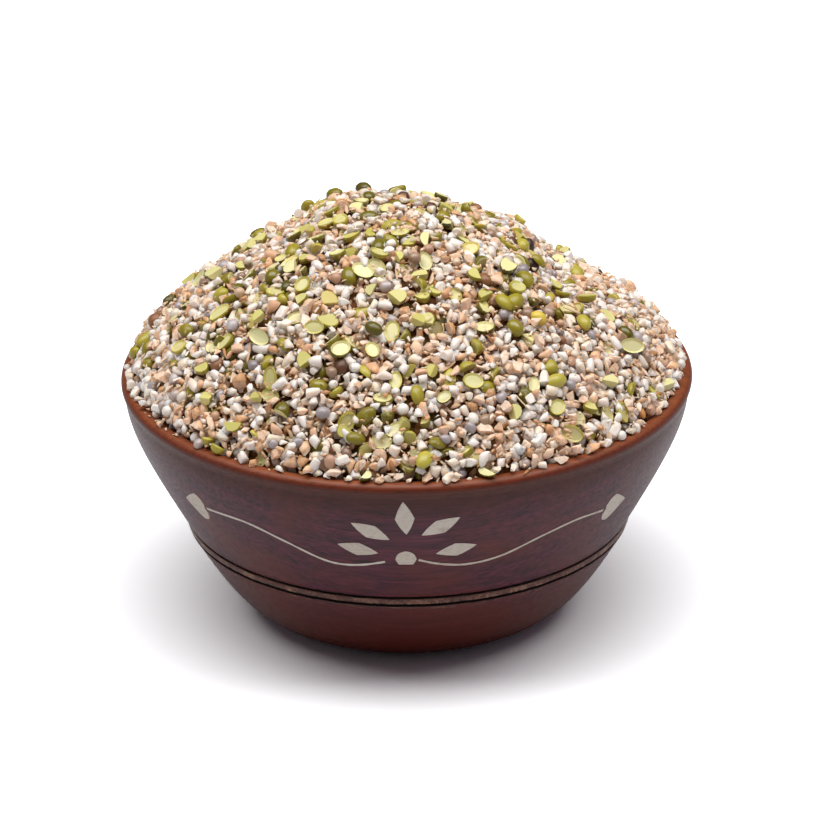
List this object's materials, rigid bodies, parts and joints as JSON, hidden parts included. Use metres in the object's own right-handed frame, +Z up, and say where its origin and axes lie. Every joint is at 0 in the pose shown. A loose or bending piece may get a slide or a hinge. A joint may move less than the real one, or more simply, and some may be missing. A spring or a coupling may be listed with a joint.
{
  "type": "bowl of multigrain broken wheat",
  "caption": "Turned rosewood bowl with a pale inlaid vine round its wall, heaped above the rim with a mix of broken wheat, rice, split green beans and millet.",
  "frame": {"origin": "middle of the bowl's base, on the surface it stands on", "axes": "+Z up along the bowl's axis; the ornament's bud faces -Y, which is the side the picture shows; +X is to the right"},
  "size_m": [0.127, 0.127, 0.0945],
  "materials": {
    "rosewood": "turned and lacquered to a satin shine, dark red-brown with a purple cast",
    "inlay": "pale bone-white inlay chips, sanded flush",
    "grain": "dry broken grain in cream, tan, pale green, olive and grey"
  },
  "bodies": {
    "root": {"bowl": "rosewood", "bud_1": "inlay", "bud_2": "inlay", "grain_heap": "grain", "heart_left_1": "inlay", "heart_left_2": "inlay", "heart_right_1": "inlay", "heart_right_2": "inlay", "petal_lower_left_1": "inlay", "petal_lower_left_2": "inlay", "petal_lower_right_1": "inlay", "petal_lower_right_2": "inlay", "petal_top_1": "inlay", "petal_top_2": "inlay", "petal_upper_left_1": "inlay", "petal_upper_left_2": "inlay", "petal_upper_right_1": "inlay", "petal_upper_right_2": "inlay", "vine_left_1": "inlay", "vine_left_2": "inlay", "vine_right_1": "inlay", "vine_right_2": "inlay"}
  },
  "joints": []
}
